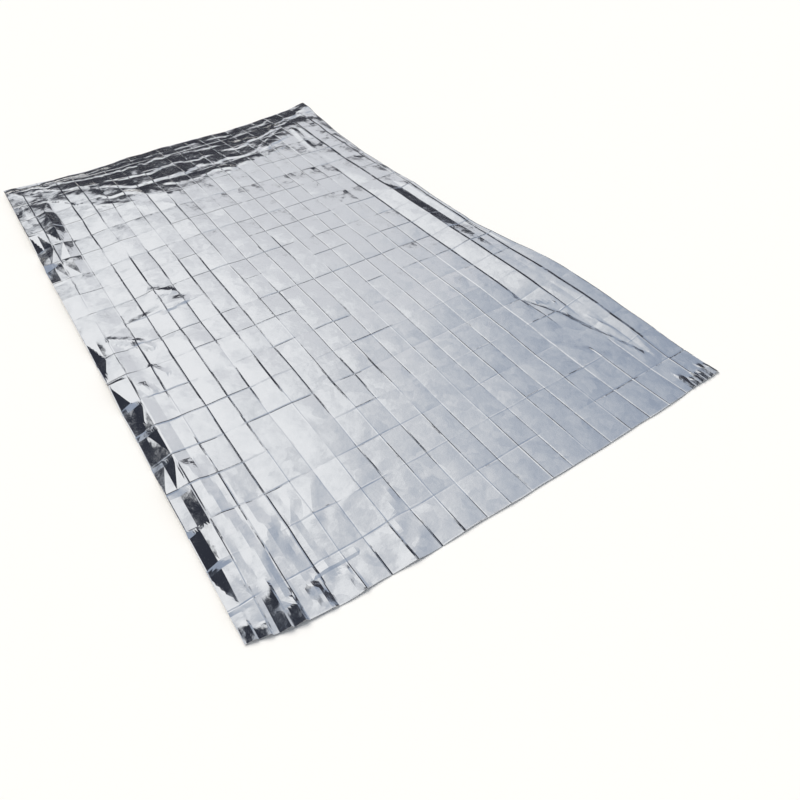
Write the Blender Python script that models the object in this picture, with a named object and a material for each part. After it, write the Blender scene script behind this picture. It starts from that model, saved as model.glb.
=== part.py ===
"""Emergency foil blanket, unfolded and laid out on flat ground.

It is one rectangle of metallised film, cut from a roll, with no hem and no fittings.
It was packed as an accordion of 21 strips by 20 rows, so it keeps a grid of folds: long
ones that run the whole length, and weaker ones across it. Here the film is one thin
closed shell that follows those folds, the swell under the far end, the swags of the far
edge, the creased margin at the left, the rucks down the right side and the gathers at
both near corners.

A place on the film is written (across, along), in metres from the middle of the cut
rectangle: across grows to the right, along grows from the near edge to the far edge.
lay() gives the place on the ground, and height() how far the film stands above it.
"""

import math
from collections import namedtuple

import bpy
import numpy as np

# Driving dimensions, in metres
CUT_WIDTH = 1.60
CUT_LENGTH = 2.10
FILM_THICKNESS = 0.001
STRIPS = 21
ROWS = 20
STRIP = CUT_WIDTH / STRIPS
ROW = CUT_LENGTH / ROWS
MM = 0.001

# Table rows: a value at a place, a soft round bulge, and a ridge along a straight line
Station = namedtuple("Station", "place value")
Patch = namedtuple("Patch", "across along radius height")
Ridge = namedtuple("Ridge", "start end height half_width")

# How the cut sheet lies: what the folds take up of its width and length, and how far its
# strips, rows, folds and edges lie from even spacing, right and far positive
NEAR_SHARE = 0.955
FAR_SHARE = 0.845
LENGTH_SHARE = 0.994
LEFT_STRIP_LAID = 0.060
FAN_START = 0.30
FAN_END = 0.65
EDGE_REACH = 0.12
STRIP_SHIFT = (
    Station(place=-0.80, value=0.006),
    Station(place=-0.65, value=0.009),
    Station(place=-0.42, value=-0.006),
    Station(place=-0.19, value=-0.017),
    Station(place=0.04, value=-0.024),
    Station(place=0.50, value=-0.025),
    Station(place=0.72, value=-0.006),
    Station(place=0.80, value=0.010),
)
ROW_SHIFT = (
    Station(place=-1.05, value=-0.018),
    Station(place=-0.84, value=-0.005),
    Station(place=-0.60, value=0.006),
    Station(place=-0.30, value=0.013),
    Station(place=0.00, value=0.012),
    Station(place=0.30, value=0.004),
    Station(place=0.65, value=-0.008),
    Station(place=1.05, value=0.000),
)
RIGHT_FOLD_SHIFT = (
    Station(place=-1.05, value=0.022),
    Station(place=-0.50, value=0.020),
    Station(place=-0.10, value=0.004),
    Station(place=0.60, value=-0.014),
    Station(place=1.05, value=-0.010),
)
RIGHT_EDGE_SHIFT = (
    Station(place=-1.05, value=-0.010),
    Station(place=-0.70, value=-0.016),
    Station(place=-0.40, value=-0.020),
    Station(place=-0.22, value=-0.056),
    Station(place=0.30, value=-0.062),
    Station(place=0.80, value=-0.036),
    Station(place=0.95, value=-0.014),
    Station(place=1.05, value=0.000),
)

# How far the near and far cut edges draw in from a straight line, inwards positive
NEAR_EDGE_DRAW = (
    Station(place=-0.80, value=0.038),
    Station(place=-0.66, value=0.011),
    Station(place=-0.39, value=-0.002),
    Station(place=0.02, value=-0.010),
    Station(place=0.41, value=-0.014),
    Station(place=0.80, value=-0.006),
)
FAR_EDGE_DRAW = (
    Station(place=-0.80, value=0.050),
    Station(place=-0.60, value=0.070),
    Station(place=-0.39, value=0.052),
    Station(place=0.02, value=0.016),
    Station(place=0.42, value=0.025),
    Station(place=0.70, value=0.010),
    Station(place=0.80, value=0.002),
)

# Where the film rests flat on the ground, for the face that it stands on
REST_PATCH = (0.305, -0.892)
REST_PATCH_RADIUS = 0.075

# The broad swell under the sheet, along it and then as a share across it
SWELL_ALONG = (
    Station(place=-1.05, value=0.000),
    Station(place=-0.80, value=0.003),
    Station(place=-0.60, value=0.009),
    Station(place=-0.30, value=0.019),
    Station(place=0.00, value=0.026),
    Station(place=0.30, value=0.033),
    Station(place=0.60, value=0.040),
    Station(place=0.80, value=0.046),
    Station(place=1.05, value=0.050),
)
SWELL_ACROSS = (
    Station(place=-0.80, value=0.00),
    Station(place=-0.70, value=0.10),
    Station(place=-0.50, value=0.70),
    Station(place=-0.25, value=0.98),
    Station(place=0.10, value=1.00),
    Station(place=0.50, value=0.97),
    Station(place=0.80, value=0.80),
)

# Where the film tips down to the far edge, and how steeply
HANG_START = (
    Station(place=-0.80, value=0.93),
    Station(place=-0.68, value=0.86),
    Station(place=-0.47, value=0.70),
    Station(place=-0.15, value=0.60),
    Station(place=0.17, value=0.63),
    Station(place=0.45, value=0.75),
    Station(place=0.70, value=0.89),
    Station(place=0.80, value=0.94),
)
HANG_SLOPE = (
    Station(place=-0.80, value=0.15),
    Station(place=-0.50, value=0.15),
    Station(place=-0.20, value=0.118),
    Station(place=0.20, value=0.116),
    Station(place=0.50, value=0.135),
    Station(place=0.80, value=0.150),
)
HANG_EASE = 0.06

PATCHES = (
    Patch(across=0.80, along=1.05, radius=0.14, height=0.012),
    Patch(across=-0.50, along=0.07, radius=0.10, height=0.004),
    Patch(across=0.38, along=-0.42, radius=0.24, height=0.004),
    Patch(across=-0.35, along=-0.72, radius=0.18, height=0.004),
)

# The packing folds: how far each rises above the straight film, up and down in turn
LONG_FOLD_RISE = (
    Station(place=-0.80, value=0.0022),
    Station(place=-0.45, value=0.0022),
    Station(place=0.10, value=0.0017),
    Station(place=0.45, value=0.0014),
    Station(place=0.80, value=0.0014),
)
CROSS_FOLD_RISE = 0.0011
PANEL_CROWN = 0.0010
PANEL_UNEVENNESS = 0.0007
UNEVENNESS_SEED = 21

# The left margin in millimetres, one row of folds at a time from the near edge: heights
# at its near and far end of the cut edge, the middle of strip 1 and the middle of strip 2
Margin = namedtuple("Margin", "edge middle pleat")
LEFT_MARGIN = (
    Margin(edge=(0, 5), middle=(0, 9), pleat=(0, 9)),
    Margin(edge=(5, 0), middle=(8, 15), pleat=(11, 12)),
    Margin(edge=(0, 3), middle=(12, 12), pleat=(12, 14)),
    Margin(edge=(14, 15), middle=(12, 13), pleat=(13, 15)),
    Margin(edge=(18, 0), middle=(18, 10), pleat=(16, 14)),
    Margin(edge=(5, 0), middle=(15, 10), pleat=(15, 14)),
    Margin(edge=(5, 0), middle=(15, 10), pleat=(16, 14)),
    Margin(edge=(5, 19), middle=(20, 21), pleat=(16, 14)),
    Margin(edge=(12, 3), middle=(16, 15), pleat=(14, 13)),
    Margin(edge=(0, 12), middle=(13, 14), pleat=(13, 13)),
    Margin(edge=(13, 13), middle=(15, 16), pleat=(13, 14)),
    Margin(edge=(14, 15), middle=(16, 18), pleat=(14, 14)),
    Margin(edge=(16, 14), middle=(18, 15), pleat=(15, 17)),
    Margin(edge=(18, 0), middle=(18, 11), pleat=(17, 27)),
    Margin(edge=(19, 0), middle=(19, 11), pleat=(19, 29)),
    Margin(edge=(0, 20), middle=(11, 20), pleat=(21, 31)),
    Margin(edge=(18, 16), middle=(19, 17), pleat=(31, 25)),
    Margin(edge=(16, 7), middle=(17, 16), pleat=(24, 14)),
    Margin(edge=(14, 13), middle=(15, 13), pleat=(13, 9)),
    Margin(edge=(11, 3), middle=(11, 4), pleat=(8, 4)),
)
MARGIN_CREST = (
    Station(place=-1.05, value=2),
    Station(place=-0.92, value=16),
    Station(place=-0.70, value=23),
    Station(place=-0.30, value=23),
    Station(place=0.00, value=18),
    Station(place=0.30, value=20),
    Station(place=0.60, value=22),
    Station(place=0.85, value=15),
    Station(place=1.05, value=5),
)
MARGIN_INNER_SHARE = 0.45
PANEL_END = 6 / 7

# The right margin in millimetres, from the near edge: heights at folds 18 to 20, one
# seventh of a strip past two of them, the middle of strip 20 and the cut edge
Ruck = namedtuple("Ruck", "along fold_18 fold_19 step_19 middle_20 fold_20 step_20 edge")
RIGHT_RUCKS = (
    Ruck(along=-1.05, fold_18=0, fold_19=0, step_19=0, middle_20=0, fold_20=0, step_20=0, edge=0),
    Ruck(along=-0.93, fold_18=0, fold_19=0, step_19=0, middle_20=0, fold_20=1, step_20=0, edge=2),
    Ruck(along=-0.80, fold_18=0, fold_19=0, step_19=0, middle_20=3, fold_20=11, step_20=9, edge=12),
    Ruck(along=-0.68, fold_18=0, fold_19=1, step_19=1, middle_20=9, fold_20=15, step_20=13, edge=16),
    Ruck(along=-0.50, fold_18=-3, fold_19=12, step_19=10, middle_20=14, fold_20=17, step_20=15, edge=18),
    Ruck(along=-0.36, fold_18=-3, fold_19=13, step_19=11, middle_20=12, fold_20=14, step_20=12, edge=17),
    Ruck(along=-0.14, fold_18=-3, fold_19=13, step_19=11, middle_20=8, fold_20=9, step_20=8, edge=12),
    Ruck(along=-0.08, fold_18=-3, fold_19=14, step_19=12, middle_20=5, fold_20=11, step_20=11, edge=16),
    Ruck(along=0.20, fold_18=-3, fold_19=13, step_19=11, middle_20=4, fold_20=12, step_20=12, edge=18),
    Ruck(along=0.27, fold_18=-2, fold_19=9, step_19=7, middle_20=7, fold_20=9, step_20=9, edge=14),
    Ruck(along=0.50, fold_18=0, fold_19=5, step_19=3, middle_20=5, fold_20=6, step_20=5, edge=8),
    Ruck(along=0.75, fold_18=0, fold_19=3, step_19=1, middle_20=3, fold_20=4, step_20=2, edge=4),
    Ruck(along=0.90, fold_18=0, fold_19=2, step_19=0, middle_20=1, fold_20=2, step_20=0, edge=1),
    Ruck(along=1.05, fold_18=0, fold_19=0, step_19=0, middle_20=0, fold_20=0, step_20=0, edge=0),
)
RUCK_FOLDS = (17 + 6 / 7, 18, 19, 19 + 1 / 7, 19 + 9 / 14, 20, 20 + 1 / 7, 21)

# Swags in the hanging part: past its path the film rises sharply and falls away slowly
Swag = namedtuple("Swag", "path rise width tail")
SWAGS = (
    Swag(
        path=((-0.76, 0.97), (-0.52, 0.905), (0.02, 0.925), (0.22, 0.905), (0.55, 0.93), (0.77, 0.96)),
        rise=3.0,
        width=0.030,
        tail=0.070,
    ),
    Swag(
        path=((-0.66, 0.90), (-0.44, 0.825), (-0.20, 0.82), (0.10, 0.84), (0.30, 0.825), (0.55, 0.88)),
        rise=3.8,
        width=0.030,
        tail=0.085,
    ),
    Swag(
        path=((-0.52, 0.84), (-0.30, 0.755), (-0.15, 0.73), (0.10, 0.755), (0.30, 0.745), (0.50, 0.84)),
        rise=4.2,
        width=0.030,
        tail=0.080,
    ),
    Swag(
        path=((-0.80, 0.965), (-0.70, 0.875), (-0.52, 0.775), (-0.30, 0.655), (-0.20, 0.59)),
        rise=4.5,
        width=0.030,
        tail=0.060,
    ),
    Swag(
        path=((-0.67, 0.82), (-0.58, 0.74), (-0.46, 0.655), (-0.30, 0.555)),
        rise=3.8,
        width=0.030,
        tail=0.055,
    ),
    Swag(
        path=((-0.14, 0.69), (0.0, 0.665), (0.10, 0.68), (0.17, 0.65), (0.25, 0.67)),
        rise=3.4,
        width=0.030,
        tail=0.060,
    ),
    Swag(
        path=((0.34, 0.69), (0.40, 0.735), (0.50, 0.785), (0.58, 0.82)),
        rise=3.4,
        width=0.030,
        tail=0.060,
    ),
)
SWAG_END = 0.04

# Rucks and pleats that leave the fold grid
PLEATS = (
    Ridge(start=(-0.62, 0.000), end=(-0.42, 0.020), height=0.0045, half_width=0.040),
    Ridge(start=(-0.50, 0.105), end=(-0.44, 0.075), height=0.0034, half_width=0.038),
    Ridge(start=(-0.715, -0.048), end=(-0.615, -0.130), height=0.0040, half_width=0.038),
    Ridge(start=(-0.66, -0.06), end=(-0.42, -0.22), height=0.0030, half_width=0.050),
    Ridge(start=(-0.705, -0.58), end=(-0.665, -0.98), height=0.0042, half_width=0.036),
    Ridge(start=(-0.640, -0.66), end=(-0.605, -0.99), height=0.0040, half_width=0.036),
    Ridge(start=(0.600, 0.83), end=(0.578, 0.66), height=0.0040, half_width=0.038),
    Ridge(start=(0.590, -0.545), end=(0.660, -0.720), height=0.0032, half_width=0.036),
    Ridge(start=(0.660, -0.735), end=(0.697, -0.860), height=0.0030, half_width=0.036),
)

# Gathers where the film bunches along the near edge, first and last in strips: the lean
# is the share of their gentle flank
Gather = namedtuple("Gather", "first last reach pitch height lean")
GATHERS = (
    Gather(first=0, last=1, reach=0.100, pitch=0.5, height=0.0075, lean=0.5),
    Gather(first=1, last=2, reach=0.170, pitch=1.0, height=0.0200, lean=0.75),
    Gather(first=19.5, last=21, reach=0.060, pitch=0.5, height=0.0045, lean=0.5),
)

# Cells between two folds, finer where the film is rucked
Cells = namedtuple("Cells", "first last count")
CELLS_ACROSS = (
    Cells(first=1, last=2, count=4),
    Cells(first=3, last=17, count=2),
    Cells(first=18, last=19, count=3),
    Cells(first=20, last=STRIPS, count=4),
)
CELLS_ALONG = (
    Cells(first=1, last=2, count=3),
    Cells(first=3, last=15, count=2),
    Cells(first=16, last=ROWS, count=4),
)
SHARP_FOLD_ANGLE = math.radians(20)


def clear_scene():
    for thing in list(bpy.data.objects):
        bpy.data.objects.remove(thing, do_unlink=True)


def smooth(share):
    """An S-shaped step from 0 to 1."""
    share = np.clip(share, 0.0, 1.0)
    return share * share * (3.0 - 2.0 * share)


def between(stations, place):
    """The value at each place, on a smooth curve through the stations."""
    spots = np.array([station.place for station in stations])
    values = np.array([station.value for station in stations], dtype=float)
    slopes = np.gradient(values, spots)
    before = np.clip(np.searchsorted(spots, place) - 1, 0, len(spots) - 2)
    gap = spots[before + 1] - spots[before]
    share = np.clip((place - spots[before]) / gap, 0.0, 1.0)
    value = values[before] + (values[before + 1] - values[before]) * smooth(share)
    value += gap * slopes[before] * share * (1 - share) ** 2
    return value - gap * slopes[before + 1] * share**2 * (1 - share)


def lay(across, along):
    """Where a place of the cut sheet lies on the floor."""
    first_fold = -CUT_WIDTH / 2 + STRIP
    tucked = first_fold - (first_fold - across) * LEFT_STRIP_LAID / STRIP
    laid = np.where(across < first_fold, tucked, across) + between(STRIP_SHIFT, across)
    fan = smooth((across - FAN_START) / (FAN_END - FAN_START))
    laid = laid + fan * between(RIGHT_FOLD_SHIFT, along)
    last_fold = CUT_WIDTH / 2 - STRIP
    laid += smooth((across - last_fold) / STRIP) * between(RIGHT_EDGE_SHIFT, along)

    half_length = CUT_LENGTH / 2
    share = (along + half_length) / CUT_LENGTH
    x = laid * (NEAR_SHARE + share * (FAR_SHARE - NEAR_SHARE))
    near_pull = smooth((EDGE_REACH - half_length - along) / EDGE_REACH)
    far_pull = smooth((along - half_length + EDGE_REACH) / EDGE_REACH)
    y = along * LENGTH_SHARE + between(ROW_SHIFT, along)
    y = y + near_pull * between(NEAR_EDGE_DRAW, across)
    y -= far_pull * between(FAR_EDGE_DRAW, across)
    return x, y


def zigzag(count):
    """Up on each even fold, down on each odd one, straight between them."""
    lower = np.floor(count)
    sign = 1.0 - 2.0 * (lower % 2)
    return sign * (1.0 - 2.0 * (count - lower))


def creased(table, turned, u, v):
    """Heights on flat three-cornered facets between the table's points."""
    i = np.clip(np.floor(u).astype(int), 0, table.shape[0] - 2)
    j = np.clip(np.floor(v).astype(int), 0, table.shape[1] - 2)
    fu = u - i
    fv = v - j
    low, right = table[i, j], table[i + 1, j]
    top, high = table[i, j + 1], table[i + 1, j + 1]
    one_way = np.where(
        fu + fv < 1,
        low + fu * (right - low) + fv * (top - low),
        high + (1 - fu) * (top - high) + (1 - fv) * (right - high),
    )
    other_way = np.where(
        fu > fv,
        low + fu * (right - low) + fv * (high - right),
        low + fv * (top - low) + fu * (high - top),
    )
    return np.where(turned[i, j], other_way, one_way)


def ridge_relief(ridge, across, along):
    """A tent-shaped ridge or hollow along a straight line, with round ends."""
    run_across = ridge.end[0] - ridge.start[0]
    run_along = ridge.end[1] - ridge.start[1]
    from_start = (across - ridge.start[0]) * run_across + (along - ridge.start[1]) * run_along
    share = np.clip(from_start / (run_across**2 + run_along**2), 0.0, 1.0)
    away = np.hypot(
        across - ridge.start[0] - share * run_across,
        along - ridge.start[1] - share * run_along,
    )
    return ridge.height * np.clip(1.0 - away / ridge.half_width, 0.0, 1.0)


def fold_relief(across, along):
    """The accordion of long folds, the weaker cross folds and the panels' crowns."""
    strips = (across + CUT_WIDTH / 2) / STRIP
    rows = (along + CUT_LENGTH / 2) / ROW
    relief = between(LONG_FOLD_RISE, across) * zigzag(strips) + CROSS_FOLD_RISE * zigzag(rows)
    return relief + PANEL_CROWN * np.sin(np.pi * (strips % 1.0)) * np.sin(np.pi * (rows % 1.0))


def hang_relief(across, along):
    """The fall of the film towards the far edge, past the line where it tips down."""
    past = along - between(HANG_START, across)
    eased = np.where(past < HANG_EASE, np.clip(past, 0, None) ** 2 / (2 * HANG_EASE), past - HANG_EASE / 2)
    return -between(HANG_SLOPE, across) * eased


def swag_relief(swag, across, along):
    """A swag of the hanging part: a sharp rise past its path, then a slow fall."""
    past = along - np.interp(across, *zip(*swag.path))
    height = np.where(past < swag.width, past / swag.width, 1 - (past - swag.width) / swag.tail)
    left_end = smooth(1 + (across - swag.path[0][0]) / SWAG_END)
    right_end = smooth(1 + (swag.path[-1][0] - across) / SWAG_END)
    return swag.rise * MM * np.clip(height, 0, 1) * left_end * right_end


def left_relief(across, along):
    """The left margin: its crest at fold 1, and the facets on each side of it."""
    strips = (across + CUT_WIDTH / 2) / STRIP
    rows = np.clip((along + CUT_LENGTH / 2) / ROW, 0, ROWS - 1e-6)
    ends = [row + end for row in range(ROWS) for end in (0.0, PANEL_END)] + [ROWS]
    along_ends = np.array(ends) * ROW - CUT_LENGTH / 2
    crest = between(MARGIN_CREST, along_ends)
    column = {name: [h for margin in LEFT_MARGIN for h in getattr(margin, name)] for name in Margin._fields}
    table = np.zeros((7, len(ends)))
    table[0, :-1] = column["edge"]
    table[1, :-1] = column["middle"]
    table[2] = crest
    table[3, :-1] = column["pleat"]
    table[4] = crest * MARGIN_INNER_SHARE
    table[5] = crest * MARGIN_INNER_SHARE**2
    table[:, -1] = table[:, -2]
    turned = np.zeros(table.shape, dtype=bool)
    turned[:, ::4] = True
    turned[3, :] = True
    u = np.interp(strips, (0, 0.5, 1, 1.5, 2, 3, 5), range(7))
    return MM * creased(table, turned, u, np.interp(rows, ends, range(len(ends))))


def right_relief(across, along):
    """The right margin: strip 19 rides up towards fold 19 and drops past it."""
    strips = (across + CUT_WIDTH / 2) / STRIP
    table = np.array([(0, *ruck[1:]) for ruck in RIGHT_RUCKS], dtype=float).T
    turned = np.zeros(table.shape, dtype=bool)
    turned[:, 1:3] = True
    u = np.interp(strips, RUCK_FOLDS, range(len(RUCK_FOLDS)))
    v = np.interp(along, [ruck.along for ruck in RIGHT_RUCKS], range(len(RIGHT_RUCKS)))
    return MM * creased(table, turned, u, v)


def gather_relief(gather, across, along):
    """Pointed gathers along the near edge, each as high as its neighbours."""
    strips = (across + CUT_WIDTH / 2) / STRIP
    tooth = (strips - gather.first) / gather.pitch % 1.0
    wave = np.where(tooth < gather.lean, tooth / gather.lean, (1 - tooth) / (1 - gather.lean))
    near = np.clip(1 - (along + CUT_LENGTH / 2) / gather.reach, 0, 1)
    return gather.height * wave * near * ((strips >= gather.first) & (strips <= gather.last))


def height(across, along):
    """How far the film's underside stands above the ground, never under it."""
    broad = (between(SWELL_ALONG, along) + hang_relief(across, along)) * between(SWELL_ACROSS, across)
    broad = broad + left_relief(across, along)
    for patch in PATCHES:
        away = np.hypot(across - patch.across, along - patch.along)
        broad = broad + patch.height * smooth(1 - away / patch.radius)
    relief = fold_relief(across, along) + right_relief(across, along)
    for swag in SWAGS:
        relief = relief + swag_relief(swag, across, along)
    for ridge in PLEATS:
        relief = relief + ridge_relief(ridge, across, along)
    for gather in GATHERS:
        relief = relief + gather_relief(gather, across, along)
    uneven = np.random.default_rng(UNEVENNESS_SEED)
    relief = relief + uneven.uniform(-PANEL_UNEVENNESS, PANEL_UNEVENNESS, across.shape)
    film = np.maximum(np.maximum(broad, 0.0) + relief, 0.0)
    in_patch = np.hypot(across - REST_PATCH[0], along - REST_PATCH[1]) < REST_PATCH_RADIUS
    return np.where(in_patch, 0.0, film)


def grid_lines(groups, pitch, size):
    """Places of the grid lines, from the number of cells between one fold and the next."""
    lines = [-size / 2]
    for group in groups:
        shares = np.arange(1, group.count + 1) / group.count
        for gap in range(group.first - 1, group.last):
            lines.extend(-size / 2 + pitch * (gap + shares))
    return np.array(lines)


def aluminised_film():
    """The bright, cold grey of a thin aluminium coat on clear polyester film."""
    material = bpy.data.materials.new("aluminised_film")
    material.use_nodes = True
    shader = material.node_tree.nodes["Principled BSDF"]
    shader.inputs["Base Color"].default_value = (0.78, 0.80, 0.82, 1.0)
    shader.inputs["Metallic"].default_value = 1.0
    shader.inputs["Roughness"].default_value = 0.22
    material.diffuse_color = (0.78, 0.80, 0.82, 1.0)
    return material


def foil_sheet():
    """The sheet's lower face as a grid along the folds, thickened upwards."""
    across, along = np.meshgrid(
        grid_lines(CELLS_ACROSS, STRIP, CUT_WIDTH), grid_lines(CELLS_ALONG, ROW, CUT_LENGTH)
    )
    x, y = lay(across, along)
    x = x - (x.min() + x.max()) / 2
    y = y - (y.min() + y.max()) / 2
    places = np.stack([x, y, height(across, along)], axis=-1).reshape(-1, 3)

    corner = np.arange(across.size).reshape(across.shape)
    low, right = corner[:-1, :-1].ravel(), corner[:-1, 1:].ravel()
    far, far_right = corner[1:, :-1].ravel(), corner[1:, 1:].ravel()
    one_way = np.abs(places[low, 2] - places[far_right, 2]) < np.abs(places[right, 2] - places[far, 2])
    first = np.where(one_way, far_right, far)
    second = np.where(one_way, low, right)
    halves = [np.stack([low, right, first], axis=-1), np.stack([second, far_right, far], axis=-1)]
    mesh = bpy.data.meshes.new("foil_sheet")
    mesh.from_pydata(places.tolist(), [], np.concatenate(halves).tolist())
    mesh.materials.append(aluminised_film())
    mesh.shade_smooth()
    mesh.set_sharp_from_angle(angle=SHARP_FOLD_ANGLE)

    blanket = bpy.data.objects.new("foil_sheet", mesh)
    bpy.context.scene.collection.objects.link(blanket)
    film = blanket.modifiers.new("film", "SOLIDIFY")
    film.thickness = FILM_THICKNESS
    film.offset = 1.0
    film.use_even_offset = False
    film.use_rim = True


clear_scene()
foil_sheet()
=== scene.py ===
"""Emergency foil blanket laid out on a pale floor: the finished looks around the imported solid."""

import math
from collections import namedtuple

import bpy
import numpy as np
from mathutils import Matrix, Vector


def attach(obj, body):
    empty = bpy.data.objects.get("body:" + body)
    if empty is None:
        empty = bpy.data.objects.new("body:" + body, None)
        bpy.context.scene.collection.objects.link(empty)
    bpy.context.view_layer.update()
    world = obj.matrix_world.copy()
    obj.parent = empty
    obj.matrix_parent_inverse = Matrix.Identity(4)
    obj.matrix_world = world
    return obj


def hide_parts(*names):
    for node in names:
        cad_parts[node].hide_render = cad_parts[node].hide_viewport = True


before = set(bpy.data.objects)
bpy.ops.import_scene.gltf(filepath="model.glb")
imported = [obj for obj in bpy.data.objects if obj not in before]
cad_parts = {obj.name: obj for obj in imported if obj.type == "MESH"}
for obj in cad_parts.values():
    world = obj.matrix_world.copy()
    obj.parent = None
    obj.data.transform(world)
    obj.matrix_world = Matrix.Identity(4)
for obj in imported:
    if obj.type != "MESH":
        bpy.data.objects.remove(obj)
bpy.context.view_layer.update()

# The film sheet
# One rectangle of polyester film with a bright aluminium coat, cut from a roll with no
# hem. It was packed as an accordion of 21 strips by 20 rows, so it lies in that grid of
# folds, with swags under the far edge, rucks down the right and gathers at both near corners.

CUT_WIDTH = 1.60
CUT_LENGTH = 2.10
STRIPS = 21
ROWS = 20
STRIP = CUT_WIDTH / STRIPS
ROW = CUT_LENGTH / ROWS
FILM_THICKNESS = 0.0004
FLOOR_GAP = 0.0002
MM = 0.001
SHARP_FOLD_ANGLE = 6

# Places on the film are (across, along), in metres from the middle of the cut rectangle
Station = namedtuple("Station", "place value")
Patch = namedtuple("Patch", "across along radius height")
Ridge = namedtuple("Ridge", "start end height half_width")

# How the cut sheet lies: what the folds take up of its width and length
NEAR_SHARE = 0.955
FAR_SHARE = 0.845
LENGTH_SHARE = 0.994
LEFT_STRIP_LAID = 0.060
FAN_START = 0.30
FAN_END = 0.65
EDGE_REACH = 0.12
STRIP_SHIFT = (
    Station(place=-0.80, value=0.006),
    Station(place=-0.65, value=0.009),
    Station(place=-0.42, value=-0.006),
    Station(place=-0.19, value=-0.017),
    Station(place=0.04, value=-0.024),
    Station(place=0.50, value=-0.025),
    Station(place=0.72, value=-0.006),
    Station(place=0.80, value=0.010),
)
ROW_SHIFT = (
    Station(place=-1.05, value=-0.018),
    Station(place=-0.84, value=-0.005),
    Station(place=-0.60, value=0.006),
    Station(place=-0.30, value=0.013),
    Station(place=0.00, value=0.012),
    Station(place=0.30, value=0.004),
    Station(place=0.65, value=-0.008),
    Station(place=1.05, value=0.000),
)
RIGHT_FOLD_SHIFT = (
    Station(place=-1.05, value=0.022),
    Station(place=-0.50, value=0.020),
    Station(place=-0.10, value=0.004),
    Station(place=0.60, value=-0.014),
    Station(place=1.05, value=-0.010),
)
RIGHT_EDGE_SHIFT = (
    Station(place=-1.05, value=-0.010),
    Station(place=-0.70, value=-0.020),
    Station(place=-0.40, value=-0.025),
    Station(place=-0.22, value=-0.056),
    Station(place=0.30, value=-0.062),
    Station(place=0.80, value=-0.036),
    Station(place=0.95, value=-0.014),
    Station(place=1.05, value=0.000),
)
NEAR_EDGE_DRAW = (
    Station(place=-0.80, value=0.038),
    Station(place=-0.66, value=0.011),
    Station(place=-0.39, value=-0.002),
    Station(place=0.02, value=-0.010),
    Station(place=0.41, value=-0.014),
    Station(place=0.80, value=-0.006),
)
FAR_EDGE_DRAW = (
    Station(place=-0.80, value=0.050),
    Station(place=-0.60, value=0.070),
    Station(place=-0.39, value=0.052),
    Station(place=0.02, value=0.016),
    Station(place=0.42, value=0.025),
    Station(place=0.70, value=0.010),
    Station(place=0.80, value=0.002),
)

# The broad swell under the sheet, along it and then as a share across it
SWELL_ALONG = (
    Station(place=-1.05, value=0.000),
    Station(place=-0.80, value=0.003),
    Station(place=-0.60, value=0.009),
    Station(place=-0.30, value=0.019),
    Station(place=0.00, value=0.026),
    Station(place=0.30, value=0.033),
    Station(place=0.60, value=0.040),
    Station(place=0.80, value=0.046),
    Station(place=1.05, value=0.050),
)
SWELL_ACROSS = (
    Station(place=-0.80, value=0.00),
    Station(place=-0.70, value=0.10),
    Station(place=-0.50, value=0.70),
    Station(place=-0.25, value=0.98),
    Station(place=0.10, value=1.00),
    Station(place=0.50, value=0.97),
    Station(place=0.80, value=0.80),
)

# Where the film tips down to the far edge, and how steeply
HANG_START = (
    Station(place=-0.80, value=0.93),
    Station(place=-0.68, value=0.86),
    Station(place=-0.47, value=0.70),
    Station(place=-0.15, value=0.60),
    Station(place=0.17, value=0.63),
    Station(place=0.45, value=0.75),
    Station(place=0.70, value=0.89),
    Station(place=0.80, value=0.94),
)
HANG_SLOPE = (
    Station(place=-0.80, value=0.15),
    Station(place=-0.50, value=0.15),
    Station(place=-0.20, value=0.118),
    Station(place=0.20, value=0.116),
    Station(place=0.50, value=0.135),
    Station(place=0.80, value=0.150),
)
HANG_EASE = 0.06

PATCHES = (
    Patch(across=0.80, along=1.05, radius=0.14, height=0.012),
    Patch(across=-0.50, along=0.07, radius=0.10, height=0.004),
    Patch(across=0.38, along=-0.42, radius=0.24, height=0.004),
    Patch(across=-0.35, along=-0.72, radius=0.18, height=0.004),
)

# The packing folds: up and down in turn, each with a narrow sharp lip along it
LONG_FOLD_RISE = (
    Station(place=-0.80, value=0.0008),
    Station(place=-0.45, value=0.0010),
    Station(place=0.10, value=0.0006),
    Station(place=0.45, value=0.0004),
    Station(place=0.80, value=0.0004),
)
CROSS_FOLD_RISE = 0.0010
LONG_LIP = 0.0012
CROSS_LIP = 0.0007
LIP_HALF_WIDTH = 0.0031
LIP_RUN = 0.13
PANEL_CROWN = 0.0010
RELIEF_LIFT = 0.0030
FOLD_WANDER = 0.0018

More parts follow.
